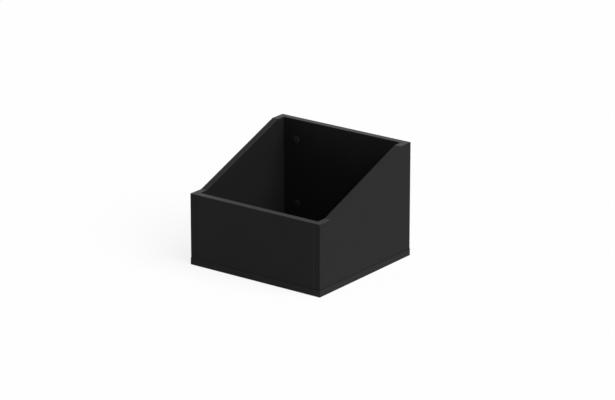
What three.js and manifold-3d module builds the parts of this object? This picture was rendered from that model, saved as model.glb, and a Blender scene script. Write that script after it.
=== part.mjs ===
// A record storage box of black melamine-faced chipboard, as its separate boards, edge bands and fittings.
// Millimetres. +X is right, -Y is the front, +Z is up. The origin is on the floor under the box's middle.
import * as THREE from "three";
import { mergeVertices } from "three/addons/utils/BufferGeometryUtils.js";
import Module from "manifold-3d";

const wasm = await Module();
wasm.setup();

// ---- Boards ----
const WIDTH = 350; // over the outer faces of the side panels
const DEPTH = 334; // front edge to rear edge of the side panels
const REAR_HEIGHT = 262; // floor to the top of the back
const FRONT_HEIGHT = 164; // floor to the top of the front
const BOARD = 16; // thickness of the front, back and side panels
const BASE_BOARD = 16; // thickness of the base
const FRONT_LEVEL = 38; // level stretch at the front of a side panel's top edge
const REAR_LEVEL = 38; // level stretch at its rear
const FOOT_RADIUS = 25; // hollow curve where the slope starts
const CREST_RADIUS = 4; // round corner where the slope ends
const PROUD = 0.6; // the base and the front panel stand this far out past the side panels

// ---- Edge bands ----
const BAND = 1.3; // thickness of the plastic band
const ARRIS = 0.6; // radius on the band's two long corners
const BAND_FLAT = 0.1; // least flat left on a band's edge under that radius
const BASE_ARRIS = 0.4; // the same on the base's bands
const GLUE_LINE = 0.2; // between a band and its board

// ---- Fittings ----
const FIT = 0.3; // clearance all round a fitting in its bore
const PITCH = 32; // spacing between neighbouring fittings of one joint
const BORE_SPARE = 1; // a blind bore is this much deeper than what goes into it

const CAM_FROM_EDGE = 48; // cam bolt axis to the top or bottom edge of the back panel
const CAM_SETBACK = 34; // cam axis to the joint face
const CAM_DIAMETER = 14.6;
const CAM_HEIGHT = 11.9;
const CAM_SINK = 0.3; // the cam's face lies this far under the board's face
const CAM_CROSS_LENGTH = 9;
const CAM_CROSS_WIDTH = 1.8;
const CAM_CROSS_DEPTH = 1.6;

const BOLT_THREAD_DIAMETER = 6.2;
const BOLT_ROOT_DIAMETER = 4.4;
const BOLT_THREAD_LENGTH = 10.5;
const BOLT_PITCH = 3;
const BOLT_COLLAR_DIAMETER = 7.6;
const BOLT_COLLAR_HEIGHT = 1.2;
const BOLT_SHANK_DIAMETER = 5.4;
const BOLT_NECK_DIAMETER = 3.6;
const BOLT_HEAD_DIAMETER = 6;
const BOLT_HEAD_LENGTH = 4.6;

const CAP_DIAMETER = 17.4;
const CAP_HEIGHT = 1.1;
const CAP_EDGE_RADIUS = 0.6;

const DOWEL_DIAMETER = 8;
const DOWEL_LENGTH = 30;
const DOWEL_IN_FACE = 10; // length of dowel that sits in the face of a board; the rest is in an edge
const DOWEL_CHAMFER = 1;
const DOWEL_FLUTES = 8;
const FLUTE_DEPTH = 0.3;

const SCREW_LENGTH = 48;
const SCREW_THREAD_DIAMETER = 6.3;
const SCREW_ROOT_DIAMETER = 4.5;
const SCREW_PITCH = 3;
const SCREW_TIP = 4;
const SCREW_HEAD_DIAMETER = 9.6;
const SCREW_HEAD_RIM = 0.7;
const SCREW_HEAD_HEIGHT = 3.4;
const SCREW_SINK = 0.5; // the head lies this far above the floor
const HEX_ACROSS_CORNERS = 4.6;
const HEX_DEPTH = 2.6;
const SIDE_SCREW_FROM_END = 60; // to the front or rear edge of the box
const CROSS_SCREW_FROM_SIDE = 64; // to the inner face of a side panel

// ---- Smoothness of round forms ----
const BORE_SIDES = 16;
const FITTING_SIDES = 10;
const CAM_SIDES = 20;
const ARRIS_STEPS = 3;
const CURVE_STEPS = 4;
const OVERCUT = 2; // a cutter starts this far outside the face that it cuts

// ---- Worked out from the sizes above ----
const innerWidth = WIDTH - 2 * BOARD;
const sideFront = -DEPTH / 2;
const sideRear = DEPTH / 2;
const frontPanelMiddle = sideFront - PROUD + BOARD / 2; // middle of the front panel's thickness
const backPanelMiddle = sideRear - BOARD / 2;
const sidePanelMiddle = WIDTH / 2 - BOARD / 2;
const bandAndGlue = BAND + GLUE_LINE;
const panelArris = Math.min(ARRIS, BAND - BAND_FLAT);
const baseArris = Math.min(BASE_ARRIS, BAND - BAND_FLAT);
const slopeAngle = Math.atan2(REAR_HEIGHT - FRONT_HEIGHT, DEPTH - FRONT_LEVEL - REAR_LEVEL);

const RIGHT = new THREE.Vector3(1, 0, 0);
const LEFT = new THREE.Vector3(-1, 0, 0);
const BACK = new THREE.Vector3(0, 1, 0);
const FRONT = new THREE.Vector3(0, -1, 0);
const UP = new THREE.Vector3(0, 0, 1);
const DOWN = new THREE.Vector3(0, 0, -1);
const SIDES = [
  { name: "left", sign: -1, outward: LEFT, inward: RIGHT },
  { name: "right", sign: 1, outward: RIGHT, inward: LEFT },
];

const FINISHES = {
  board: { color: 0x222223, roughness: 0.5, metalness: 0 },
  band: { color: 0x1f1f20, roughness: 0.45, metalness: 0 },
  cap: { color: 0x1b1b1c, roughness: 0.55, metalness: 0 },
  zinc: { color: 0xb4b2ac, roughness: 0.45, metalness: 1 },
  steel: { color: 0xc2bfb6, roughness: 0.35, metalness: 1 },
  beech: { color: 0xcfa677, roughness: 0.7, metalness: 0 },
};

const box = new THREE.Group();
box.name = "record_storage_stand";

function addPart(name, geometry, finish) {
  const mesh = new THREE.Mesh(geometry, new THREE.MeshStandardMaterial(FINISHES[finish]));
  mesh.name = name;
  box.add(mesh);
  return mesh;
}

// ---- Joining and cutting ----
function solidOf(geometry) {
  const bare = geometry.clone();
  bare.deleteAttribute("normal");
  bare.deleteAttribute("uv");
  const merged = mergeVertices(bare, 1e-4);
  const vertProperties = merged.attributes.position.array;
  const triVerts = new Uint32Array(merged.index.array);
  return new wasm.Manifold(new wasm.Mesh({ numProp: 3, vertProperties, triVerts }));
}

function geometryOf(solid) {
  const mesh = solid.getMesh();
  const geometry = new THREE.BufferGeometry();
  geometry.setAttribute("position", new THREE.Float32BufferAttribute(mesh.vertProperties, 3));
  geometry.setIndex(new THREE.Uint32BufferAttribute(mesh.triVerts, 1));
  geometry.computeVertexNormals();
  return geometry;
}

function cutAway(geometry, cutters) {
  const whole = solidOf(geometry);
  return geometryOf(cutters.reduce((solid, cutter) => solid.subtract(solidOf(cutter)), whole));
}

// ---- Shapes and places ----
// A block between two opposite corners.
function block(low, high) {
  const size = new THREE.Vector3().subVectors(high, low);
  const middle = new THREE.Vector3().addVectors(low, high).multiplyScalar(0.5);
  return new THREE.BoxGeometry(size.x, size.y, size.z).translate(middle.x, middle.y, middle.z);
}

// A turned form about +Z, from [radius, height] points that run upwards and start and end on the axis.
function turned(profile, sides) {
  const points = profile.map(([radius, height]) => new THREE.Vector2(radius, height));
  return new THREE.LatheGeometry(points, sides).rotateX(Math.PI / 2);
}

function rod(radius, from, to, sides = BORE_SIDES) {
  return turned([[0, from], [radius, from], [radius, to], [0, to]], sides);
}

// Turns a form's own +Z to a direction and moves its origin to a point.
function placed(geometry, direction, point) {
  const turn = new THREE.Quaternion().setFromUnitVectors(UP, direction);
  return geometry.applyQuaternion(turn).translate(point.x, point.y, point.z);
}

function placeMesh(mesh, direction, point) {
  mesh.quaternion.setFromUnitVectors(UP, direction);
  mesh.position.copy(point);
}

// A thread as one ridge for each turn, as [radius, height] points.
function threadRidges(rootRadius, crestRadius, pitch, from, to) {
  const turns = Math.floor((to - from) / pitch);
  return Array.from({ length: turns }, (_, turn) => [
    [rootRadius, from + turn * pitch],
    [crestRadius, from + (turn + 0.5) * pitch],
  ]).flat();
}

// ---- Joints: where each fitting crosses from one board into the next ----
// The upright joints are between a side panel and the front or back panel, called a cross panel here.
// A joint's direction points from the side panel's face into the cross panel. Cam bores open into the box.
const crossPanels = [
  {
    name: "front",
    middle: frontPanelMiddle,
    opens: BACK,
    camHeights: [(BASE_BOARD + FRONT_HEIGHT) / 2],
    dowelHeights: [(BASE_BOARD + FRONT_HEIGHT) / 2 - PITCH, (BASE_BOARD + FRONT_HEIGHT) / 2 + PITCH],
  },
  {
    name: "back",
    middle: backPanelMiddle,
    opens: FRONT,
    camHeights: [BASE_BOARD + CAM_FROM_EDGE, REAR_HEIGHT - CAM_FROM_EDGE],
    dowelHeights: [BASE_BOARD + CAM_FROM_EDGE + PITCH, REAR_HEIGHT - CAM_FROM_EDGE - PITCH],
  },
];

function uprightJoints(heightsOf) {
  return SIDES.flatMap((side) =>
    crossPanels.flatMap((panel) =>
      heightsOf(panel).map((height, index) => ({
        side,
        panel,
        name: `${panel.name}_${side.name}_${index + 1}`,
        point: new THREE.Vector3((side.sign * innerWidth) / 2, panel.middle, height),
        direction: side.inward,
      })),
    ),
  );
}

const camJoints = uprightJoints((panel) => panel.camHeights);
const uprightDowelJoints = uprightJoints((panel) => panel.dowelHeights);

const baseDowelJoints = SIDES.flatMap((side) =>
  [-1, 1].map((end) => ({
    side,
    name: `base_${side.name}_${end < 0 ? "front" : "rear"}`,
    point: new THREE.Vector3(
      side.sign * sidePanelMiddle,
      end * (DEPTH / 2 - SIDE_SCREW_FROM_END - PITCH),
      BASE_BOARD,
    ),
    direction: UP,
  })),
);

const sideScrews = SIDES.flatMap((side) =>
  [-1, 1].map((end) => ({
    board: side.name,
    name: `${side.name}_${end < 0 ? "front" : "rear"}`,
    point: new THREE.Vector3(
      side.sign * sidePanelMiddle,
      end * (DEPTH / 2 - SIDE_SCREW_FROM_END),
      SCREW_SINK,
    ),
  })),
);
const crossScrews = crossPanels.flatMap((panel) =>
  SIDES.map((side) => ({
    board: panel.name,
    name: `${panel.name}_${side.name}`,
    point: new THREE.Vector3(
      side.sign * (innerWidth / 2 - CROSS_SCREW_FROM_SIDE),
      panel.middle,
      SCREW_SINK,
    ),
  })),
);
const screws = [...sideScrews, ...crossScrews];

// ---- Bores ----
const camDepth = CAM_SINK + CAM_HEIGHT + FIT;
const dowelInEdge = DOWEL_LENGTH - DOWEL_IN_FACE;

function camBore(joint) {
  const face = joint.point
    .clone()
    .addScaledVector(joint.direction, CAM_SETBACK)
    .addScaledVector(joint.panel.opens, BOARD / 2);
  const inwards = joint.panel.opens.clone().negate();
  return placed(rod(CAM_DIAMETER / 2 + FIT, -OVERCUT, camDepth, CAM_SIDES), inwards, face);
}

// The bolt's passage through the edge of the front or back panel, as far as the cam.
function boltPassage(joint) {
  const radius = BOLT_COLLAR_DIAMETER / 2 + FIT;
  return placed(rod(radius, -OVERCUT, CAM_SETBACK), joint.direction, joint.point);
}

function boltThreadBore(joint) {
  const radius = BOLT_THREAD_DIAMETER / 2 + FIT;
  return placed(rod(radius, -BOLT_THREAD_LENGTH - BORE_SPARE, OVERCUT), joint.direction, joint.point);
}

function dowelBoreInFace(joint) {
  const radius = DOWEL_DIAMETER / 2 + FIT;
  return placed(rod(radius, -DOWEL_IN_FACE - BORE_SPARE, OVERCUT), joint.direction, joint.point);
}

function dowelBoreInEdge(joint) {
  const radius = DOWEL_DIAMETER / 2 + FIT;
  return placed(rod(radius, -OVERCUT, dowelInEdge + BORE_SPARE), joint.direction, joint.point);
}

function screwPilot(screw) {
  const top = SCREW_LENGTH + BORE_SPARE;
  return placed(rod(SCREW_THREAD_DIAMETER / 2 + FIT, 0, top), UP, screw.point);
}

// The bores that come up through the bottom edge of an upright board, for its screws and dowels.
function boresFromBelow(board) {
  return [
    ...screws.filter((screw) => screw.board === board).map(screwPilot),
    ...baseDowelJoints.filter((joint) => joint.side.name === board).map(dowelBoreInEdge),
  ];
}

// The countersunk hole through the base: the head's form and the neck's, with clearance.
function screwCountersink(screw) {
  const headRadius = SCREW_HEAD_DIAMETER / 2 + FIT;
  const neckRadius = SCREW_THREAD_DIAMETER / 2 + FIT;
  const profile = [
    [0, -SCREW_SINK - OVERCUT],
    [headRadius, -SCREW_SINK - OVERCUT],
    [headRadius, SCREW_HEAD_RIM],
    [neckRadius, SCREW_HEAD_HEIGHT],
    [neckRadius, BASE_BOARD + OVERCUT],
    [0, BASE_BOARD + OVERCUT],
  ];
  return placed(turned(profile, BORE_SIDES), UP, screw.point);
}

// ---- Base panel: a plain board, drilled from below for the screws and from above for the dowels ----
const baseHalfWidth = WIDTH / 2 + PROUD;
const baseHalfDepth = DEPTH / 2 + PROUD;
const baseCore = block(
  new THREE.Vector3(-baseHalfWidth + bandAndGlue, -baseHalfDepth + bandAndGlue, 0),
  new THREE.Vector3(baseHalfWidth - bandAndGlue, baseHalfDepth - bandAndGlue, BASE_BOARD),
);
const baseBores = [...screws.map(screwCountersink), ...baseDowelJoints.map(dowelBoreInFace)];
addPart("base_panel", cutAway(baseCore, baseBores), "board");

// ---- Front and back panels: boards between the side panels, drilled for cams, bolts, dowels and screws ----
const panelTops = { front: FRONT_HEIGHT, back: REAR_HEIGHT };
const boardBottom = BASE_BOARD + bandAndGlue;

for (const panel of crossPanels) {
  const core = block(
    new THREE.Vector3(-innerWidth / 2, panel.middle - BOARD / 2, boardBottom),
    new THREE.Vector3(innerWidth / 2, panel.middle + BOARD / 2, panelTops[panel.name] - bandAndGlue),
  );
  const cams = camJoints.filter((joint) => joint.panel === panel);
  const dowels = uprightDowelJoints.filter((joint) => joint.panel === panel);
  const bores = [
    ...cams.map(camBore),
    ...cams.map(boltPassage),
    ...dowels.map(dowelBoreInEdge),
    ...boresFromBelow(panel.name),
  ];
  addPart(`${panel.name}_panel`, cutAway(core, bores), "board");
}

// ---- Side panels: level, slope, level along the top ----
// The outline in depth and height, drawn in by an inset along the front, top and rear, down to a bottom.
function sideOutline(inset, bottom) {
  const front = sideFront + inset;
  const rear = sideRear - inset;
  const low = FRONT_HEIGHT - inset;
  const high = REAR_HEIGHT - inset;
  const halfTangent = Math.tan(slopeAngle / 2);
  const footCorner = sideFront + FRONT_LEVEL + inset * halfTangent;
  const crestCorner = sideRear - REAR_LEVEL + inset * halfTangent;
  const footRadius = FOOT_RADIUS + inset;
  const crestRadius = CREST_RADIUS - inset;
  const outline = new THREE.Shape();
  outline.moveTo(front, bottom);
  outline.lineTo(front, low);
  outline.absarc(
    footCorner - footRadius * halfTangent, low + footRadius, footRadius,
    -Math.PI / 2, -Math.PI / 2 + slopeAngle, false,
  );
  outline.absarc(
    crestCorner + crestRadius * halfTangent, high - crestRadius, crestRadius,
    Math.PI / 2 + slopeAngle, Math.PI / 2, true,
  );
  outline.lineTo(rear, high);
  outline.lineTo(rear, bottom);
  return outline;
}

// An outline in depth and height, extruded along X from a left face over a width, its long corners rounded.
const depthHeightAcross = new THREE.Matrix4().makeBasis(BACK, UP, RIGHT);
function extrudedAcross(outline, leftFace, width, arris) {
  return new THREE.ExtrudeGeometry(outline, {
    depth: width - 2 * arris,
    curveSegments: CURVE_STEPS,
    bevelEnabled: arris > 0,
    bevelThickness: arris,
    bevelSize: arris,
    bevelOffset: -arris,
    bevelSegments: ARRIS_STEPS,
  })
    .applyMatrix4(depthHeightAcross)
    .translate(leftFace + arris, 0, 0);
}

const leftFaceOf = (side) => (side.sign < 0 ? -WIDTH / 2 : innerWidth / 2);

for (const side of SIDES) {
  const core = extrudedAcross(sideOutline(bandAndGlue, boardBottom), leftFaceOf(side), BOARD, 0);
  const bores = [
    ...camJoints.filter((joint) => joint.side === side).map(boltThreadBore),
    ...uprightDowelJoints.filter((joint) => joint.side === side).map(dowelBoreInFace),
    ...boresFromBelow(side.name),
  ];
  addPart(`${side.name}_side_panel`, cutAway(core, bores), "board");
}

// ---- Contoured top bands of the side panels ----
// The panel's rounded outline, less what lies behind the band and less the two upright bands' strips.
const uprightBandStrips = [
  block(
    new THREE.Vector3(-WIDTH, sideFront - OVERCUT, 0),
    new THREE.Vector3(WIDTH, sideFront + BAND + OVERCUT, FRONT_HEIGHT - BAND),
  ),
  block(
    new THREE.Vector3(-WIDTH, sideRear - BAND - OVERCUT, 0),
    new THREE.Vector3(WIDTH, sideRear + OVERCUT, REAR_HEIGHT - BAND),
  ),
];

for (const side of SIDES) {
  const rounded = extrudedAcross(sideOutline(0, BASE_BOARD), leftFaceOf(side), BOARD, panelArris);
  const behindBand = extrudedAcross(
    sideOutline(BAND, BASE_BOARD - OVERCUT), leftFaceOf(side) - OVERCUT, BOARD + 2 * OVERCUT, 0,
  );
  addPart(`${side.name}_side_top_band`, cutAway(rounded, [behindBand, ...uprightBandStrips]), "band");
}

// ---- Straight bands ----
// A strip along +Z from 0 to its length, its outer face at y = 0 and its two outer corners rounded.
function bandStrip(width, length, arris) {
  const section = new THREE.Shape();
  section.moveTo(-width / 2, -BAND);
  section.lineTo(width / 2, -BAND);
  section.absarc(width / 2 - arris, -arris, arris, 0, Math.PI / 2, false);
  section.absarc(-width / 2 + arris, -arris, arris, Math.PI / 2, Math.PI, false);
  return new THREE.ExtrudeGeometry(section, {
    depth: length,
    curveSegments: ARRIS_STEPS,
    bevelEnabled: false,
  });
}

// Where a strip lies whose outer face looks outward and which runs from a start point in a direction.
function bandPlace({ start, outward, run }) {
  const across = new THREE.Vector3().crossVectors(outward, run);
  return new THREE.Matrix4().makeBasis(across, outward, run).setPosition(start);
}

function addBand(name, band) {
  const mesh = addPart(name, bandStrip(band.width, band.length, band.arris), "band");
  mesh.applyMatrix4(bandPlace(band));
}

function addBoredBand(name, band, bores) {
  const strip = bandStrip(band.width, band.length, band.arris).applyMatrix4(bandPlace(band));
  addPart(name, cutAway(strip, bores), "band");
}

for (const panel of crossPanels) {
  const band = { run: RIGHT, width: BOARD, length: innerWidth, arris: panelArris };
  const topStart = new THREE.Vector3(-innerWidth / 2, panel.middle, panelTops[panel.name]);
  const bottomStart = new THREE.Vector3(-innerWidth / 2, panel.middle, BASE_BOARD);
  addBand(`${panel.name}_top_band`, { ...band, start: topStart, outward: UP });
  const bottomBand = { ...band, start: bottomStart, outward: DOWN };
  addBoredBand(`${panel.name}_bottom_band`, bottomBand, boresFromBelow(panel.name));
}

// A side panel's bottom band runs its full depth, and its upright bands stand on that band's two ends.
const sideEnds = [
  { name: "front", at: sideFront, outward: FRONT, top: FRONT_HEIGHT },
  { name: "rear", at: sideRear, outward: BACK, top: REAR_HEIGHT },
];
for (const side of SIDES) {
  const bottomBand = {
    start: new THREE.Vector3(side.sign * sidePanelMiddle, sideFront, BASE_BOARD),
    outward: DOWN,
    run: BACK,
    width: BOARD,
    length: DEPTH,
    arris: panelArris,
  };
  addBoredBand(`${side.name}_side_bottom_band`, bottomBand, boresFromBelow(side.name));
  for (const end of sideEnds) {
    addBand(`${side.name}_side_${end.name}_band`, {
      start: new THREE.Vector3(side.sign * sidePanelMiddle, end.at, BASE_BOARD + BAND),
      outward: end.outward,
      run: UP,
      width: BOARD,
      length: end.top - 2 * BAND - BASE_BOARD,
      arris: panelArris,
    });
  }
}

// The base's front and rear bands run its full width, and its side bands lie between them.
for (const end of sideEnds) {
  addBand(`base_${end.name}_band`, {
    start: new THREE.Vector3(-baseHalfWidth, end.at + end.outward.y * PROUD, BASE_BOARD / 2),
    outward: end.outward,
    run: RIGHT,
    width: BASE_BOARD,
    length: 2 * baseHalfWidth,
    arris: baseArris,
  });
}
for (const side of SIDES) {
  addBand(`base_${side.name}_band`, {
    start: new THREE.Vector3(side.sign * baseHalfWidth, -baseHalfDepth + BAND, BASE_BOARD / 2),
    outward: side.outward,
    run: BACK,
    width: BASE_BOARD,
    length: 2 * (baseHalfDepth - BAND),
    arris: baseArris,
  });
}

// ---- Cam locks: cast drums with a mouth for the bolt's neck, a pocket for its head, and a cross slot ----
// The drum's +Z points into the board from its slotted face, and +X towards the bolt.
const boltDepthInCam = BOARD / 2 - CAM_SINK;

function crossSlot(length, width, depth, from) {
  return [[length, width], [width, length]].map(([x, y]) =>
    new THREE.BoxGeometry(x, y, depth).translate(0, 0, from + depth / 2),
  );
}

function camDrum() {
  const radius = CAM_DIAMETER / 2;
  const headRadius = BOLT_HEAD_DIAMETER / 2 + FIT;
  const pocketRadius = Math.hypot(BOLT_HEAD_LENGTH / 2, BOLT_HEAD_DIAMETER / 2) + FIT;
  const mouthHeight = BOLT_NECK_DIAMETER + 2 * FIT;
  const pocket = rod(pocketRadius, boltDepthInCam - headRadius, boltDepthInCam + headRadius);
  const mouth = new THREE.BoxGeometry(CAM_DIAMETER, CAM_DIAMETER, mouthHeight);
  mouth.translate(radius, 0, boltDepthInCam);
  const slots = crossSlot(CAM_CROSS_LENGTH, CAM_CROSS_WIDTH, CAM_CROSS_DEPTH + OVERCUT, -OVERCUT);
  return cutAway(rod(radius, 0, CAM_HEIGHT, CAM_SIDES), [pocket, mouth, ...slots]);
}

function placeCam(mesh, joint) {
  const inwards = joint.panel.opens.clone().negate();
  const towardsBolt = joint.direction.clone().negate();
  const third = new THREE.Vector3().crossVectors(inwards, towardsBolt);
  mesh.quaternion.setFromRotationMatrix(new THREE.Matrix4().makeBasis(towardsBolt, third, inwards));
  mesh.position
    .copy(joint.point)
    .addScaledVector(joint.direction, CAM_SETBACK)
    .addScaledVector(joint.panel.opens, BOARD / 2 - CAM_SINK);
}

for (const joint of camJoints) placeCam(addPart(`cam_${joint.name}`, camDrum(), "zinc"), joint);

// ---- Cam bolts: a coarse thread in the side panel, a collar at the joint, a neck and head in the cam ----
function camBolt() {
  const root = BOLT_ROOT_DIAMETER / 2;
  const crest = BOLT_THREAD_DIAMETER / 2;
  const shankEnd = CAM_SETBACK - CAM_DIAMETER / 2 - FIT;
  const headFrom = CAM_SETBACK - BOLT_HEAD_LENGTH / 2;
  const headTo = CAM_SETBACK + BOLT_HEAD_LENGTH / 2;
  const headChamfer = (BOLT_HEAD_DIAMETER - BOLT_NECK_DIAMETER) / 2;
  return turned(
    [
      [0, -BOLT_THREAD_LENGTH],
      ...threadRidges(root, crest, BOLT_PITCH, -BOLT_THREAD_LENGTH, 0),
      [root, 0],
      [BOLT_COLLAR_DIAMETER / 2, 0],
      [BOLT_COLLAR_DIAMETER / 2, BOLT_COLLAR_HEIGHT],
      [BOLT_SHANK_DIAMETER / 2, BOLT_COLLAR_HEIGHT],
      [BOLT_SHANK_DIAMETER / 2, shankEnd],
      [BOLT_NECK_DIAMETER / 2, shankEnd],
      [BOLT_NECK_DIAMETER / 2, headFrom],
      [BOLT_HEAD_DIAMETER / 2, headFrom + headChamfer],
      [BOLT_HEAD_DIAMETER / 2, headTo - headChamfer],
      [BOLT_NECK_DIAMETER / 2, headTo],
      [0, headTo],
    ],
    FITTING_SIDES,
  );
}

for (const joint of camJoints) {
  placeMesh(addPart(`cam_bolt_${joint.name}`, camBolt(), "steel"), joint.direction, joint.point);
}

// ---- Cam caps: thin discs on the inner faces, each with a cross on its back that presses into the cam ----
function camCap() {
  const radius = CAP_DIAMETER / 2;
  const edge = Array.from({ length: ARRIS_STEPS + 1 }, (_, step) => {
    const angle = (step / ARRIS_STEPS) * (Math.PI / 2);
    return [
      radius - CAP_EDGE_RADIUS * (1 - Math.cos(angle)),
      CAP_HEIGHT - CAP_EDGE_RADIUS * (1 - Math.sin(angle)),
    ];
  });
  const disc = turned([[0, 0], [radius, 0], ...edge, [0, CAP_HEIGHT]], CAM_SIDES);
  const prongLength = CAM_CROSS_LENGTH - 2 * FIT;
  const prongWidth = CAM_CROSS_WIDTH - 2 * FIT;
  const prongDepth = CAM_SINK + CAM_CROSS_DEPTH - FIT;
  const prongs = crossSlot(prongLength, prongWidth, prongDepth + CAP_HEIGHT / 2, -prongDepth);
  return geometryOf(prongs.reduce((solid, prong) => solid.add(solidOf(prong)), solidOf(disc)));
}

for (const joint of camJoints) {
  const face = joint.point
    .clone()
    .addScaledVector(joint.direction, CAM_SETBACK)
    .addScaledVector(joint.panel.opens, BOARD / 2);
  placeMesh(addPart(`cam_cap_${joint.name}`, camCap(), "cap"), joint.panel.opens, face);
}

// ---- Dowels: fluted beech, chamfered at both ends ----
function flutedDowel() {
  const crest = DOWEL_DIAMETER / 2;
  const points = Array.from({ length: 2 * DOWEL_FLUTES }, (_, index) => {
    const radius = index % 2 === 0 ? crest : crest - FLUTE_DEPTH;
    const angle = (index / DOWEL_FLUTES) * Math.PI;
    return new THREE.Vector2(radius * Math.cos(angle), radius * Math.sin(angle));
  });
  return new THREE.ExtrudeGeometry(new THREE.Shape(points), {
    depth: DOWEL_LENGTH - 2 * DOWEL_CHAMFER,
    bevelThickness: DOWEL_CHAMFER,
    bevelSize: DOWEL_CHAMFER,
    bevelOffset: -DOWEL_CHAMFER,
    bevelSegments: 1,
  }).translate(0, 0, DOWEL_CHAMFER - DOWEL_IN_FACE);
}

for (const joint of [...uprightDowelJoints, ...baseDowelJoints]) {
  placeMesh(addPart(`dowel_${joint.name}`, flutedDowel(), "beech"), joint.direction, joint.point);
}

// ---- Base screws: countersunk, with a smooth neck through the base and a coarse thread above it ----
function baseScrew() {
  const root = SCREW_ROOT_DIAMETER / 2;
  const crest = SCREW_THREAD_DIAMETER / 2;
  const head = SCREW_HEAD_DIAMETER / 2;
  const neckEnd = BASE_BOARD - SCREW_SINK;
  const threadEnd = SCREW_LENGTH - SCREW_TIP;
  const shaft = turned(
    [
      [0, 0],
      [head, 0],
      [head, SCREW_HEAD_RIM],
      [crest, SCREW_HEAD_HEIGHT],
      [crest, neckEnd],
      ...threadRidges(root, crest, SCREW_PITCH, neckEnd, threadEnd),
      [root, threadEnd],
      [0, SCREW_LENGTH],
    ],
    FITTING_SIDES,
  );
  return cutAway(shaft, [rod(HEX_ACROSS_CORNERS / 2, -OVERCUT, HEX_DEPTH, 6)]);
}

for (const screw of screws) {
  addPart(`base_screw_${screw.name}`, baseScrew(), "steel").position.copy(screw.point);
}

export default box;
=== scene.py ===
"""A record storage box of black melamine-faced chipboard, held together by cams, dowels and screws."""

import math

import bmesh
import bpy
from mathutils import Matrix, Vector


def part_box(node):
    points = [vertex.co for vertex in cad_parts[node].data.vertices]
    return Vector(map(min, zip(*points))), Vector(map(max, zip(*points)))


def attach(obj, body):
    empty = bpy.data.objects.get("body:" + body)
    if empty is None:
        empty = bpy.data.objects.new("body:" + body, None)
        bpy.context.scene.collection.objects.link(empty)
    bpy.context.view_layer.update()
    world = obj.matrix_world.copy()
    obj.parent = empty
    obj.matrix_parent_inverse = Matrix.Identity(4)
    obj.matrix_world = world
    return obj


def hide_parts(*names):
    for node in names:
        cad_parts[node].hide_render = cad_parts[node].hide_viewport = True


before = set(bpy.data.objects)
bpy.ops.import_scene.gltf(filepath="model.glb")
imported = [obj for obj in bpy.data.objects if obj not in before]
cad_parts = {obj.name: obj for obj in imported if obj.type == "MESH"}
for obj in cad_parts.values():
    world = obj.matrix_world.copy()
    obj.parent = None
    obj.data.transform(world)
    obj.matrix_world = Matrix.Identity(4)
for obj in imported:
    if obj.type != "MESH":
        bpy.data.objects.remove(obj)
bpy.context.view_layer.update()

# ---- Base panel ----
# A 16 mm chipboard panel under the whole box, faced above and below with black melamine. The facing has a
# fine pearl grain pressed into it. Raw chips show only where the board is cut, in its bores.


class Wire:
    """A shader socket. An expression on wires adds the Math nodes that work it out."""

    def __init__(self, finish, socket):
        self.finish = finish
        self.socket = socket

    def math(self, operation, *operands):
        return self.finish.node("ShaderNodeMath", {"operation": operation}, operands)

    def __add__(self, other):
        return self.math("ADD", self, other)

    def __sub__(self, other):
        return self.math("SUBTRACT", self, other)

    def __rsub__(self, other):
        return self.math("SUBTRACT", other, self)

    def __mul__(self, other):
        return self.math("MULTIPLY", self, other)

    def __gt__(self, other):
        return self.math("GREATER_THAN", self, other)

    def __abs__(self):
        return self.math("ABSOLUTE", self)

    __radd__ = __add__
    __rmul__ = __mul__


class Finish:
    """A material in the making. Every node in it comes from node()."""

    def __init__(self, name):
        self.material = bpy.data.materials.new(name)
        self.material.use_nodes = True
        self.tree = self.material.node_tree
        self.tree.nodes.clear()
        self.place = self.node("ShaderNodeTexCoord", output="Object")

    def node(self, kind, settings=None, inputs=(), output=0):
        made = self.tree.nodes.new(kind)
        for key, value in (settings or {}).items():
            if key == "stops":
                for stop, (at, colour) in zip(made.color_ramp.elements, value, strict=True):
                    stop.position = at
                    stop.color = (*colour, 1)
            else:
                setattr(made, key, value)
        for key, value in inputs.items() if isinstance(inputs, dict) else enumerate(inputs):
            if isinstance(value, Wire):
                self.tree.links.new(value.socket, made.inputs[key])
            else:
                made.inputs[key].default_value = value
        return None if output is None else Wire(self, made.outputs[output])

    def noise(self, size, detail=2.0, place=None):
        """Noise from 0 to 1 whose lumps are about size metres across."""
        inputs = {"Vector": place or self.place, "Scale": 1 / size, "Detail": detail}
        return self.node("ShaderNodeTexNoise", None, inputs)

    def ramp(self, factor, first, last):
        return self.node("ShaderNodeValToRGB", {"stops": (first, last)}, [factor])

    def axis(self, name):
        """One coordinate of a point on the surface, in metres."""
        return self.node("ShaderNodeSeparateXYZ", None, [self.place], name)

    def squeezed(self, x, y, z):
        return self.node("ShaderNodeVectorMath", {"operation": "MULTIPLY"}, [self.place, (x, y, z)])

    def bump(self, height, depth, strength=1.0):
        """The normal of a surface that rises by depth metres as height goes from 0 to 1."""
        inputs = {"Height": height, "Distance": depth, "Strength": strength}
        return self.node("ShaderNodeBump", None, inputs)

    def surface(self, **inputs):
        named = {key.replace("_", " "): value for key, value in inputs.items()}
        return self.node("ShaderNodeBsdfPrincipled", None, named)

    def done(self, shader):
        self.node("ShaderNodeOutputMaterial", None, [shader], output=None)
        return self.material


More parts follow.
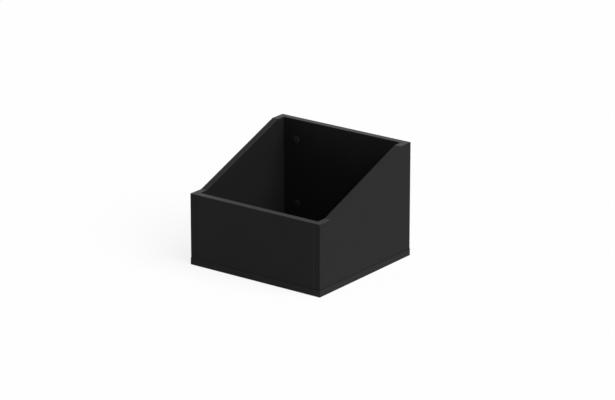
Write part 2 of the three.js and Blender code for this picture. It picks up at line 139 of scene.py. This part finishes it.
BLACK_SHEEN = 0.05  # specular level of the facing and of most bands
FACING_DARKEST = (0.0119, 0.0119, 0.0121)
FACING_PALEST = (0.0151, 0.0151, 0.0153)
FACING_ROUGHNESS = 0.40
GRAIN_SIZE = 0.0006
GRAIN_DEPTH = 0.00003
GRAIN_STRENGTH = 0.5
PATCH_SIZE = 0.09  # how far apart patches of slightly different sheen lie
SKIN = 0.00015  # thickness of the melamine facing
CHIP_SIZE = 0.0016
CHIP_RELIEF = 0.0003
CHIP_DARKEST = (0.13, 0.075, 0.035)
CHIP_PALEST = (0.42, 0.29, 0.16)
CHIP_ROUGHNESS = 0.9
# Grey for the sawn ends of the front and back panels: a painted highlight.
END_HIGHLIGHT_LIGHTER = (0.075, 0.075, 0.075)
END_HIGHLIGHT_DARKER = (0.06, 0.06, 0.06)
END_HIGHLIGHT_ROUGHNESS = 0.7


def melamine(finish):
    """Black facing with a pressed grain."""
    grain = finish.noise(GRAIN_SIZE, 3)
    patches = finish.noise(PATCH_SIZE, 3)
    tone = grain * 0.7 + patches * 0.3
    return finish.surface(
        Base_Color=finish.ramp(tone, (0.35, FACING_DARKEST), (0.65, FACING_PALEST)),
        Roughness=patches * 0.08 + grain * 0.06 + FACING_ROUGHNESS,
        Specular_IOR_Level=BLACK_SHEEN,
        Normal=finish.bump(grain, GRAIN_DEPTH, GRAIN_STRENGTH),
    )


def raw_chips(finish):
    """The wood chips of the board's core."""
    cells = {"Vector": finish.place, "Scale": 1 / CHIP_SIZE}
    colours = finish.node("ShaderNodeTexVoronoi", None, cells, "Color")
    shade = finish.node("ShaderNodeSeparateColor", None, [colours])
    return finish.surface(
        Base_Color=finish.ramp(shade, (0.0, CHIP_DARKEST), (1.0, CHIP_PALEST)),
        Roughness=CHIP_ROUGHNESS,
        Normal=finish.bump(shade, CHIP_RELIEF),
    )


def painted_end_highlight(finish):
    """Matt grey on the sawn ends, mottled at random: a painted highlight that stands in for light on an
    exposed end.
    """
    end_mottle = finish.noise(CHIP_SIZE, 3)
    return finish.surface(
        Base_Color=finish.ramp(end_mottle, (0.3, END_HIGHLIGHT_LIGHTER), (0.7, END_HIGHLIGHT_DARKER)),
        Roughness=END_HIGHLIGHT_ROUGHNESS,
        Specular_IOR_Level=BLACK_SHEEN,
    )


def faced_board(node, thickness_axis, highlighted_axis=None):
    """Melamine on a board's faces and a grey painted highlight on its ends across the given axis, with raw
    chips elsewhere.
    """
    finish = Finish(f"{node}_board")
    low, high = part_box(node)

    def coated(axis, shader, coat):
        """The shader with a coat on the two faces across an axis."""
        index = "XYZ".index(axis)
        middle = (low[index] + high[index]) / 2
        reach = (high[index] - low[index]) / 2 - SKIN
        at_face = abs(finish.axis(axis) - middle) > reach
        return finish.node("ShaderNodeMixShader", None, [at_face, shader, coat(finish)])

    shader = raw_chips(finish)
    if highlighted_axis:
        shader = coated(highlighted_axis, shader, painted_end_highlight)
    return finish.done(coated(thickness_axis, shader, melamine))


def dress(node, material):
    """Gives a CAD node its finish."""
    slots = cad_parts[node].data.materials
    slots.clear()
    slots.append(material)


dress("base_panel", faced_board("base_panel", "Z"))

# ---- Edge bands of the base ----
# Strips of black ABS, 1.3 mm thick, glued on all four edges of the base, those at front and rear full width.
# The upper edge of each is cut back in a small step, which shows as a dark line under the panels. A hair of
# black hot-melt glue lies between each strip and its board.
BAND = 0.0013
BASE_ARRIS = 0.0004
ARC_STEPS = 6
SHADOW_GAP = 0.0006
SHADOW_GAP_DEPTH = 0.001
STEP_EASE = 0.0001
END_CHAMFER = 0.00025
SMOOTH_ANGLE = math.radians(35)
BAND_DARKEST = (0.88, 0.88, 0.90)  # times a band's own shade
BAND_PALEST = (1.12, 1.12, 1.14)
STREAK_LENGTH = 0.02
STREAK_WIDTH = 0.0004
STREAK_RELIEF = 0.00001
STREAK_STRENGTH = 0.4
GLUE = 0.00019
GLUE_RECESS = 0.00003
GLUE_BLOB = 0.002
GLUE_DARKEST = (0.008, 0.008, 0.008)
GLUE_PALEST = (0.013, 0.012, 0.012)
GLUE_ROUGHNESS = 0.5


def abs_band(name, run, sheen, roughness, shade):
    """Extruded ABS, faintly streaked along its run."""
    finish = Finish(name)
    squeeze = [STREAK_WIDTH / STREAK_LENGTH if axis == run else 1 for axis in "XYZ"]
    streaks = finish.noise(STREAK_WIDTH, 2, finish.squeezed(*squeeze))
    patches = finish.noise(PATCH_SIZE / 2, 3)
    darkest = [share * shade for share in BAND_DARKEST]
    palest = [share * shade for share in BAND_PALEST]
    shader = finish.surface(
        Base_Color=finish.ramp(streaks * 0.4 + patches * 0.6, (0.3, darkest), (0.7, palest)),
        Roughness=patches * 0.06 + streaks * 0.04 + roughness,
        Specular_IOR_Level=sheen,
        Normal=finish.bump(streaks, STREAK_RELIEF, STREAK_STRENGTH),
    )
    return finish.done(shader)


def black_glue():
    finish = Finish("black_glue")
    shader = finish.surface(
        Base_Color=finish.ramp(finish.noise(GLUE_BLOB), (0.3, GLUE_DARKEST), (0.7, GLUE_PALEST)),
        Roughness=GLUE_ROUGHNESS,
        Specular_IOR_Level=BLACK_SHEEN,
    )
    return finish.done(shader)


GLUE_FINISH = black_glue()
# The base's bands have a paler shade than the panels' bands: painted light that brightens the strip round
# the foot of the box.
BASE_BAND_PAINTED_LIGHT_FINISH = {
    run: abs_band(f"base_band_{run}", run, sheen=0.06, roughness=0.40, shade=0.0147) for run in "XY"
}


def join_rings(mesh, rings):
    """Joins each ring of points to the next with faces, and returns them in order."""
    faces = []
    for ring, following in zip(rings, rings[1:]):
        for step in range(len(ring)):
            other = (step + 1) % len(ring)
            corners = (ring[step], ring[other], following[other], following[step])
            faces.append(mesh.faces.new(corners))
    return faces


def make_piece(name, mesh, materials, slot, *nodes):
    """Turns a bmesh into a piece of the box, which may stand for CAD nodes."""
    bmesh.ops.recalc_face_normals(mesh, faces=mesh.faces)
    data = bpy.data.meshes.new(name)
    mesh.to_mesh(data)
    mesh.free()
    data.polygons.foreach_set("use_smooth", [True] * len(data.polygons))
    data.set_sharp_from_angle(angle=SMOOTH_ANGLE)
    for material in materials:
        data.materials.append(material)
    piece = bpy.data.objects.new(name, data)
    bpy.context.scene.collection.objects.link(piece)
    weighted = piece.modifiers.new("flat_faces_stay_flat", "WEIGHTED_NORMAL")
    weighted.keep_sharp = True
    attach(piece, "root")
    if nodes:
        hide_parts(*nodes)


def rounded(arris):
    """An edge of a band as (inset, outward) points, eased to a radius."""
    turns = [math.pi / 2 * step / ARC_STEPS for step in range(ARC_STEPS + 1)]
    return [(arris * (1 - math.cos(turn)), -arris * (1 - math.sin(turn))) for turn in turns]


def rebated(height, depth):
    """An edge of a band cut back in a small step, which leaves a shadow gap under the next piece."""
    return [(0.0, -depth), (height, -depth), (height, -STEP_EASE), (height + STEP_EASE, 0.0)]


def band_section(width, near, far):
    """The band's outline as (across, outward) points. The three sides before the last are glue."""
    half = width / 2
    right = [(half - inset, outward) for inset, outward in far]
    left = [(inset - half, outward) for inset, outward in reversed(near)]
    glued = half - GLUE_RECESS
    back = -BAND - GLUE
    plastic = [(half, -BAND), *right, *left, (-half, -BAND)]
    return [*plastic, (-glued, -BAND), (-glued, back), (glued, back), (glued, -BAND)]


def lay_band(node, stations, across, width, edges, finish):
    """Sweeps the band's section along stations of (point on the outer face, outward direction)."""
    outline = band_section(width, *edges)
    eased = [
        (u * (1 - 2 * END_CHAMFER / width), v * (1 - END_CHAMFER / (BAND + GLUE)) - END_CHAMFER)
        for u, v in outline
    ]
    (first, first_out), (last, last_out) = stations[0], stations[-1]
    step_in = (stations[1][0] - first).normalized() * END_CHAMFER
    step_out = (stations[-2][0] - last).normalized() * END_CHAMFER
    sections = [
        (first, first_out, eased),
        (first + step_in, first_out, outline),
        *[(point, outward, outline) for point, outward in stations[1:-1]],
        (last + step_out, last_out, outline),
        (last, last_out, eased),
    ]
    mesh = bmesh.new()
    rings = [
        [mesh.verts.new(point + across * u + outward * v) for u, v in section]
        for point, outward, section in sections
    ]
    count = len(outline)
    glued = range(count - 4, count - 1)
    for index, face in enumerate(join_rings(mesh, rings)):
        face.material_index = 1 if index % count in glued else 0
    mesh.faces.new(rings[0])
    mesh.faces.new(rings[-1])
    make_piece(f"{node}_strip", mesh, [finish, GLUE_FINISH], "edge_band", node)


def lay_straight_band(node, outward, edges, finishes):
    """Lays a band over a straight CAD band, whose longest side is its run."""
    low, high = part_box(node)
    size = high - low
    out = max(range(3), key=lambda index: abs(outward[index]))
    run = max(range(3), key=lambda index: size[index])
    across = 3 - out - run
    start = (low + high) / 2
    start[out] = high[out] if outward[out] > 0 else low[out]
    end = start.copy()
    start[run], end[run] = low[run], high[run]
    across_way = Vector(1.0 if index == across else 0.0 for index in range(3))
    stations = [(start, outward), ((start + end) / 2, outward), (end, outward)]
    lay_band(node, stations, across_way, size[across], edges, finishes["XYZ"[run]])


LEFT, RIGHT = Vector((-1, 0, 0)), Vector((1, 0, 0))
FRONT, BACK = Vector((0, -1, 0)), Vector((0, 1, 0))
UP = Vector((0, 0, 1))
BASE_EDGES = (rounded(BASE_ARRIS), rebated(SHADOW_GAP, SHADOW_GAP_DEPTH))
for end, outward in (("front", FRONT), ("rear", BACK), ("left", LEFT), ("right", RIGHT)):
    lay_straight_band(f"base_{end}_band", outward, BASE_EDGES, BASE_BAND_PAINTED_LIGHT_FINISH)

# ---- Dowels ----
# Fluted beech pins, 8 by 30 mm, glued into blind bores. Four stand up from the base into the side panels,
# and two at each upright joint stop the front and back panels from turning.
BEECH_DARKEST = (0.47, 0.27, 0.13)
BEECH_PALEST = (0.68, 0.46, 0.26)
BEECH_ROUGHNESS = 0.6
BEECH_RING = 0.0012
BEECH_LENGTHWISE = 0.05  # how much the grain is drawn out along a pin
FLECK = 0.0003
FLECK_RELIEF = 0.00005


def beech(run):
    finish = Finish(f"beech_{run.lower()}")
    squeeze = [BEECH_LENGTHWISE if axis == run else 1 for axis in "XYZ"]
    grain = finish.noise(BEECH_RING, 4, finish.squeezed(*squeeze))
    flecks = finish.noise(FLECK, 2, finish.squeezed(*squeeze))
    tone = grain * 0.7 + flecks * 0.3
    shader = finish.surface(
        Base_Color=finish.ramp(tone, (0.3, BEECH_DARKEST), (0.7, BEECH_PALEST)),
        Roughness=flecks * 0.1 + BEECH_ROUGHNESS,
        Normal=finish.bump(flecks, FLECK_RELIEF),
    )
    return finish.done(shader)


beech_upright, beech_across = beech("Z"), beech("X")
for side in ("left", "right"):
    for end in ("front", "rear"):
        dress(f"dowel_base_{side}_{end}", beech_upright)
    for panel in ("front", "back"):
        for number in (1, 2):
            dress(f"dowel_{panel}_{side}_{number}", beech_across)

# ---- Side panels ----
# Two boards, mirror images, each with a top edge that is level, climbs in a straight slope and is level
# again. They stand on the base, and their front, rear and bottom edges carry straight bands. The left one's
# front band stops a millimetre short of the front panel, which shows as a dark line.
PANEL_ARRIS = 0.0006
SEAM_ARRIS = 0.001  # towards the front or back panel
SEAM_GAP = 0.001
SEAM_GAP_DEPTH = 0.001
GLUE_BEAD = 0.003
GLUE_CLEARANCE = 0.000005

UPRIGHT_BAND_FINISH = {
    run: abs_band(f"panel_band_{run}", run, BLACK_SHEEN, roughness=0.40, shade=0.0138) for run in "XYZ"
}


def lay_glue_beads(panel):
    """Glue in the hair between a board and its bottom band: a bead along each face, clear of the bores."""
    low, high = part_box(f"{panel}_panel")
    run, across = (0, 1) if high.x - low.x > high.y - low.y else (1, 0)
    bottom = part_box(f"{panel}_bottom_band")[1].z + GLUE_CLEARANCE
    top = low.z - GLUE_CLEARANCE
    mesh = bmesh.new()
    for face, inward in ((low[across], 1), (high[across], -1)):
        outline = [
            (GLUE_RECESS, bottom),
            (2 * GLUE_RECESS, (bottom + top) / 2),
            (GLUE_RECESS, top),
            (GLUE_BEAD, top),
            (GLUE_BEAD, bottom),
        ]
        rings = []
        for end in (low[run] + GLUE_RECESS, high[run] - GLUE_RECESS):
            ring = []
            for depth, height in outline:
                spot = Vector((0, 0, height))
                spot[run], spot[across] = end, face + inward * depth
                ring.append(mesh.verts.new(spot))
            rings.append(ring)
            mesh.faces.new(ring)
        join_rings(mesh, rings)
    make_piece(f"{panel}_glue", mesh, [GLUE_FINISH], "edge_band")


for side in ("left", "right"):
    dress(f"{side}_side_panel", faced_board(f"{side}_side_panel", "X"))
    outer, inner = rounded(PANEL_ARRIS), rounded(SEAM_ARRIS)
    front_edges = rear_edges = (inner, outer)
    if side == "left":
        front_edges = (outer, rebated(SEAM_GAP, SEAM_GAP_DEPTH))
        rear_edges = (outer, inner)
    lay_straight_band(f"{side}_side_front_band", FRONT, front_edges, UPRIGHT_BAND_FINISH)
    lay_straight_band(f"{side}_side_rear_band", BACK, rear_edges, UPRIGHT_BAND_FINISH)
    dress(f"{side}_side_bottom_band", UPRIGHT_BAND_FINISH["Y"])
    lay_glue_beads(f"{side}_side")

# ---- Contoured bands of the side panels ----
# One strip a side follows the whole top edge. It can't turn a sharp hollow corner, so the board is routed to
# a 25 mm curve at the foot of the slope. At the crest it bends over a small round corner.
LEVEL = 0.038  # level stretch at each end of the top edge
FOOT_RADIUS = 0.025
CREST_RADIUS = 0.004
CURVE_STEPS = 10


def top_contour(low, high, foot_height):
    """(depth, height, tilt) along the top edge from front to rear. Tilt is the slope of the edge there."""
    foot = Vector((low.y + LEVEL, foot_height))
    crest = Vector((high.y - LEVEL, high.z))
    slope = math.atan2(crest.y - foot.y, crest.x - foot.x)
    half_tangent = math.tan(slope / 2)
    foot_centre = foot + Vector((-FOOT_RADIUS * half_tangent, FOOT_RADIUS))
    crest_centre = crest + Vector((CREST_RADIUS * half_tangent, -CREST_RADIUS))
    tilts = [slope * step / CURVE_STEPS for step in range(CURVE_STEPS + 1)]
    hollow = [
        (
            foot_centre.x + FOOT_RADIUS * math.sin(tilt),
            foot_centre.y - FOOT_RADIUS * math.cos(tilt),
            tilt,
        )
        for tilt in tilts
    ]
    bend = [
        (
            crest_centre.x - CREST_RADIUS * math.sin(tilt),
            crest_centre.y + CREST_RADIUS * math.cos(tilt),
            tilt,
        )
        for tilt in reversed(tilts)
    ]
    return [(low.y, foot_height, 0.0), *hollow, *bend, (high.y, high.z, 0.0)]


TOP_BAND_FINISH = {
    run: abs_band(f"top_band_{run}", run, sheen=0.07, roughness=0.30, shade=0.0125) for run in "XY"
}
TOP_EDGES = (rounded(PANEL_ARRIS), rounded(PANEL_ARRIS))
front_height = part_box("front_top_band")[1].z
for side in ("left", "right"):
    node = f"{side}_side_top_band"
    low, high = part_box(node)
    middle = (low.x + high.x) / 2
    stations = [
        (Vector((middle, depth, height)), Vector((0, -math.sin(tilt), math.cos(tilt))))
        for depth, height, tilt in top_contour(low, high, front_height)
    ]
    lay_band(node, stations, RIGHT, high.x - low.x, TOP_EDGES, TOP_BAND_FINISH["Y"])

# ---- Cam bolts ----
# Zinc-plated steel, screwed into the side panels' inner faces: one a side at the front and two at the back.
# Each reaches 34 mm into the edge of the front or back panel, where its head sits in the cam.
CAMS = [
    f"{panel}_{side}_{number}"
    for side in ("left", "right")
    for panel, count in (("front", 1), ("back", 2))
    for number in range(1, count + 1)
]
PLATING_DARKEST = (0.46, 0.45, 0.42)
PLATING_PALEST = (0.62, 0.61, 0.57)
PLATING_ROUGHNESS = 0.22
PLATING_MOTTLE = 0.0015
SCRATCH = 0.00025
SCRATCH_RELIEF = 0.00002
SCRATCH_STRENGTH = 0.3


def zinc_plated_steel():
    finish = Finish("zinc_plated_steel")
    mottle = finish.noise(PLATING_MOTTLE, 4)
    scratches = finish.noise(SCRATCH, 2)
    shader = finish.surface(
        Base_Color=finish.ramp(mottle, (0.3, PLATING_DARKEST), (0.7, PLATING_PALEST)),
        Metallic=1.0,
        Roughness=mottle * 0.2 + PLATING_ROUGHNESS,
        Normal=finish.bump(scratches, SCRATCH_RELIEF, SCRATCH_STRENGTH),
    )
    return finish.done(shader)


zinc_plate = zinc_plated_steel()
for cam in CAMS:
    dress(f"cam_bolt_{cam}", zinc_plate)

# ---- Front and back panels ----
# Two boards set between the side panels, their sawn ends painted grey as a painted highlight. The front
# panel stands 0.6 mm out past the sides, so an end shows as a fine pale line of painted highlight at the
# seam.
# Bands cover the top and bottom edges.
for panel in ("front", "back"):
    dress(f"{panel}_panel", faced_board(f"{panel}_panel", "Y", highlighted_axis="X"))
    lay_straight_band(f"{panel}_top_band", UP, TOP_EDGES, TOP_BAND_FINISH)
    dress(f"{panel}_bottom_band", UPRIGHT_BAND_FINISH["X"])
    lay_glue_beads(panel)

# ---- Cams ----
# Die-cast zinc drums in blind bores on the inner faces. Half a turn of the cross slot draws the bolt in.
ZINC_DARKEST = (0.34, 0.34, 0.33)
ZINC_PALEST = (0.50, 0.49, 0.47)
ZINC_ROUGHNESS = 0.38
CAST_GRAIN = 0.0004
CAST_RELIEF = 0.00004
CAST_STRENGTH = 0.6


def cast_zinc():
    finish = Finish("cast_zinc")
    grain = finish.noise(CAST_GRAIN, 3)
    shader = finish.surface(
        Base_Color=finish.ramp(grain, (0.35, ZINC_DARKEST), (0.65, ZINC_PALEST)),
        Metallic=1.0,
        Roughness=grain * 0.2 + ZINC_ROUGHNESS,
        Normal=finish.bump(grain, CAST_RELIEF, CAST_STRENGTH),
    )
    return finish.done(shader)


zinc = cast_zinc()
for cam in CAMS:
    dress(f"cam_{cam}", zinc)

# ---- Cam caps ----
# Black polypropylene discs, 17.4 mm across, pressed over the cams to hide them on the two inner faces. Each
# has a soft edge with a small notch for prising it off, and a cross on its back that grips the cam's slot.
CAP_STEPS = 64
CAP_EDGE = 0.0006
CAP_EDGE_STEPS = 5
CAP_FACE_RINGS = (0.6, 0.2)  # shares of the radius
NOTCH_HALF_ANGLE = math.radians(8)
NOTCH_DEPTH = 0.0007
CROSS_LENGTH = 0.0084
CROSS_WIDTH = 0.0012
CROSS_DEPTH = 0.0016
CAP_DARKEST = (0.013, 0.013, 0.0133)
CAP_PALEST = (0.019, 0.019, 0.0195)
CAP_ROUGHNESS = 0.48
CAP_SHEEN = 0.2
SPARK_GRAIN = 0.00035
SPARK_RELIEF = 0.00003
SPARK_STRENGTH = 0.7


def cap_plastic():
    """Polypropylene with the fine spark-eroded texture of its mould."""
    finish = Finish("cap_plastic")
    grain = finish.noise(SPARK_GRAIN, 3)
    shader = finish.surface(
        Base_Color=finish.ramp(grain, (0.3, CAP_DARKEST), (0.7, CAP_PALEST)),
        Roughness=grain * 0.1 + CAP_ROUGHNESS,
        Specular_IOR_Level=CAP_SHEEN,
        Normal=finish.bump(grain, SPARK_RELIEF, SPARK_STRENGTH),
    )
    return finish.done(shader)


CAP_FINISH = cap_plastic()


def cap_profile(radius, height):
    """(radius, height) points from the rim's foot over its soft edge to near the middle."""
    turns = [math.pi / 2 * step / CAP_EDGE_STEPS for step in range(CAP_EDGE_STEPS + 1)]
    edge = [
        (radius - CAP_EDGE * (1 - math.cos(turn)), height - CAP_EDGE * (1 - math.sin(turn)))
        for turn in turns
    ]
    return [(radius, 0.0), *edge, *[(radius * share, height) for share in CAP_FACE_RINGS]]


def cross_outline():
    """The cross on a cap's back, as (across, up) corners."""
    length, width = CROSS_LENGTH / 2, CROSS_WIDTH / 2
    corners = []
    arm = [(length, width), (width, width), (width, length)]
    for quarter in range(4):
        corners += arm
        arm = [(-up, across) for across, up in arm]
    return corners


def press_cap(cam, opens):
    """A cap on the board's inner face. opens is the way that the face looks."""
    node = f"cam_cap_{cam}"
    low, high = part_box(node)
    panel_low, panel_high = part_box(f"{cam.split('_')[0]}_panel")
    face = panel_high.y if opens.y > 0 else panel_low.y
    height = high.y - face if opens.y > 0 else face - low.y
    rim = (high.x - low.x) / 2
    centre = Vector(((low.x + high.x) / 2, face, (low.z + high.z) / 2))
    mesh = bmesh.new()
    rings = []
    for radius, rise in cap_profile(rim, height):
        ring = []
        for step in range(CAP_STEPS):
            angle = 2 * math.pi * step / CAP_STEPS
            off_notch = abs((angle + math.pi / 2) % (2 * math.pi) - math.pi)
            at_rim = radius > rim - 2 * CAP_EDGE
            cut = NOTCH_DEPTH if at_rim and off_notch < NOTCH_HALF_ANGLE else 0.0
            spoke = Vector((math.cos(angle), 0, math.sin(angle)))
            ring.append(mesh.verts.new(centre + spoke * (radius - cut) + opens * rise))
        rings.append(ring)
    join_rings(mesh, rings)
    mesh.faces.new(rings[-1])
    cross = []
    for depth in (0.0, CROSS_DEPTH):
        foot = centre - opens * depth
        cross.append([mesh.verts.new(foot + Vector((across, 0, up))) for across, up in cross_outline()])
    join_rings(mesh, cross)
    mesh.faces.new(cross[-1])
    around = [(ring[step - 1], ring[step]) for ring in (rings[0], cross[0]) for step in range(len(ring))]
    bmesh.ops.triangle_fill(mesh, edges=[mesh.edges.get(pair) for pair in around], use_beauty=True)
    make_piece(f"cap_{cam}", mesh, [CAP_FINISH], "cap_plastic", node)


for cam in CAMS:
    press_cap(cam, BACK if cam.startswith("front") else FRONT)

# ---- Base screws ----
# Eight countersunk screws of zinc-plated steel, up through the base into the edges of the four upright
# panels, with a hexagon socket. Their heads lie half a millimetre up in the base.
SCREW_STEPS = 48
HEAD_EASE = 0.0003
HEAD_RIM = 0.0007
HEAD_HEIGHT = 0.0034
SOCKET_RADIUS = 0.0023  # to the corners of the hexagon
SOCKET_DEPTH = 0.0026
SOCKET_EASE = 0.00025
NECK = 0.0155  # height of its end
SHANK_RADIUS = 0.00315
ROOT_RADIUS = 0.00225
THREAD_PITCH = 0.003
THREAD_STEPS = 12  # to a turn
RIDGE_HALF_WIDTH = 0.22  # of a turn
TIP_LENGTH = 0.004
TIP_SHARE = 0.04  # of the thread's radius that is left at the very tip


def hexagon(angle, radius):
    """Distance from the middle of a hexagon to its edge, for a corner radius."""
    within = (angle % (math.pi / 3)) - math.pi / 6
    return radius * math.cos(math.pi / 6) / math.cos(within)


def drive_screw(name):
    """One screw: a socketed head and a smooth neck, then a helical thread that runs out at a point."""
    node = f"base_screw_{name}"
    low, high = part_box(node)
    centre = Vector(((low.x + high.x) / 2, (low.y + high.y) / 2, low.z))
    head = (high.x - low.x) / 2
    length = high.z - low.z
    mesh = bmesh.new()

    def ring(radius_at, rise):
        made = []
        for step in range(SCREW_STEPS):
            angle = 2 * math.pi * step / SCREW_STEPS
            radius = radius_at(angle)
            spot = Vector((radius * math.cos(angle), radius * math.sin(angle), rise))
            made.append(mesh.verts.new(centre + spot))
        return made

    def thread(rise):
        """Radius of the thread at a height: a sharp ridge once a turn, tapering to the tip."""
        fade = min(1.0, max(0.0, (length - rise) / TIP_LENGTH))

        def radius_at(angle):
            turn = (rise / THREAD_PITCH - angle / (2 * math.pi)) % 1.0
            ridge = max(0.0, 1 - abs(turn - 0.5) / RIDGE_HALF_WIDTH)
            return (ROOT_RADIUS + (SHANK_RADIUS - ROOT_RADIUS) * ridge) * max(fade, TIP_SHARE)

        return radius_at

    profile = [
        (lambda angle: hexagon(angle, SOCKET_RADIUS), SOCKET_DEPTH),
        (lambda angle: hexagon(angle, SOCKET_RADIUS), SOCKET_EASE),
        (lambda angle: hexagon(angle, SOCKET_RADIUS) + SOCKET_EASE, 0.0),
        (lambda angle: head - HEAD_EASE, 0.0),
        (lambda angle: head, HEAD_EASE),
        (lambda angle: head, HEAD_RIM),
        (lambda angle: SHANK_RADIUS, HEAD_HEIGHT),
        (lambda angle: SHANK_RADIUS, NECK),
    ]
    steps = round((length - NECK) / THREAD_PITCH * THREAD_STEPS)
    heights = [NECK + (length - NECK) * (step + 1) / steps for step in range(steps)]
    rings = [ring(radius_at, rise) for radius_at, rise in profile]
    rings += [ring(thread(rise), rise) for rise in heights]
    join_rings(mesh, rings)
    mesh.faces.new(rings[0])
    mesh.faces.new(rings[-1])
    make_piece(f"screw_{name}", mesh, [zinc_plate], "plated_steel", node)


for side in ("left", "right"):
    for name in (f"{side}_front", f"{side}_rear", f"front_{side}", f"back_{side}"):
        drive_screw(name)

# ---- Studio ----
# A pale floor under a white sky, and one broad soft light high on the right. The camera stands where the
# photograph's did, worked out from the box's own corners in it.
FLOOR_SIZE = 60.0
FLOOR_DROP = 0.0001
FLOOR_COLOUR = (0.95, 0.95, 0.95, 1)
FLOOR_ROUGHNESS = 0.9
WHITE = (1, 1, 1, 1)
FLOOR_GLOW = 0.86  # share of plain white in what the camera and reflections see of the floor
SKY_ON_SURFACES = 0.18  # strength of the sky as a light, where 1 is the white that the camera sees
KEY_STRENGTH = 3.45
KEY_ELEVATION = math.radians(48)
KEY_AZIMUTH = math.radians(90)  # from the front round to the right
KEY_SPREAD = math.radians(50)
CAMERA_PLACE = Vector((4.0472, -5.4249, 2.4381))
CAMERA_AZIMUTH = math.radians(36.599)
CAMERA_ELEVATION = math.radians(18.765)
CAMERA_LENS = 191.5  # millimetres
CAMERA_SENSOR = 36.0
CAMERA_REACH = 100.0


def direction(azimuth, elevation):
    """From the box towards a compass direction, counted from the front round to the right."""
    level = math.cos(elevation)
    return Vector((math.sin(azimuth) * level, -math.cos(azimuth) * level, math.sin(elevation)))


def seen_or_mirrored(finish):
    """1 for rays from the camera, from reflections and through glass, and 0 for light on surfaces."""
    path = [
        finish.node("ShaderNodeLightPath", output=f"Is {ray} Ray")
        for ray in ("Camera", "Glossy", "Transmission")
    ]
    return path[0].math("MAXIMUM", path[0], path[1].math("MAXIMUM", path[1], path[2]))


def pale_floor():
    finish = Finish("pale_floor")
    shader = finish.surface(
        Base_Color=FLOOR_COLOUR, Roughness=FLOOR_ROUGHNESS, Specular_IOR_Level=0.0
    )
    white = finish.node("ShaderNodeEmission", None, {"Color": WHITE, "Strength": 1.0})
    glow = seen_or_mirrored(finish) * FLOOR_GLOW
    return finish.done(finish.node("ShaderNodeMixShader", None, [glow, shader, white]))


floor_data = bpy.data.meshes.new("floor")
half = FLOOR_SIZE / 2
corners = [(x * half, y * half, -FLOOR_DROP) for x, y in ((-1, -1), (1, -1), (1, 1), (-1, 1))]
floor_data.from_pydata(corners, [], [(0, 1, 2, 3)])
floor_data.materials.append(pale_floor())
floor = bpy.data.objects.new("floor", floor_data)
bpy.context.scene.collection.objects.link(floor)


class Sky(Finish):
    """The world's own nodes, made in the same way as a material's."""

    def __init__(self, name):
        self.world = bpy.data.worlds.new(name)
        self.world.use_nodes = True
        self.tree = self.world.node_tree
        self.tree.nodes.clear()

    def done(self, shader):
        self.node("ShaderNodeOutputWorld", None, [shader], output=None)
        return self.world


sky = Sky("white_sky")
brightness = seen_or_mirrored(sky) * (1 - SKY_ON_SURFACES) + SKY_ON_SURFACES
white_sky = {"Color": WHITE, "Strength": brightness}
bpy.context.scene.world = sky.done(sky.node("ShaderNodeBackground", None, white_sky))

key_data = bpy.data.lights.new("softbox", "SUN")
key_data.energy = KEY_STRENGTH
key_data.angle = KEY_SPREAD
key = bpy.data.objects.new("softbox", key_data)
key.rotation_euler = (-direction(KEY_AZIMUTH, KEY_ELEVATION)).to_track_quat("-Z", "Y").to_euler()
bpy.context.scene.collection.objects.link(key)

camera_data = bpy.data.cameras.new("camera")
camera_data.sensor_width = CAMERA_SENSOR
camera_data.lens = CAMERA_LENS
camera_data.clip_end = CAMERA_REACH
camera = bpy.data.objects.new("camera", camera_data)
camera.location = CAMERA_PLACE
camera.rotation_mode = "QUATERNION"
towards_camera = direction(CAMERA_AZIMUTH, CAMERA_ELEVATION)
camera.rotation_quaternion = (-towards_camera).to_track_quat("-Z", "Y")
bpy.context.scene.collection.objects.link(camera)
bpy.context.scene.camera = camera
bpy.context.scene.view_settings.view_transform = "Standard"
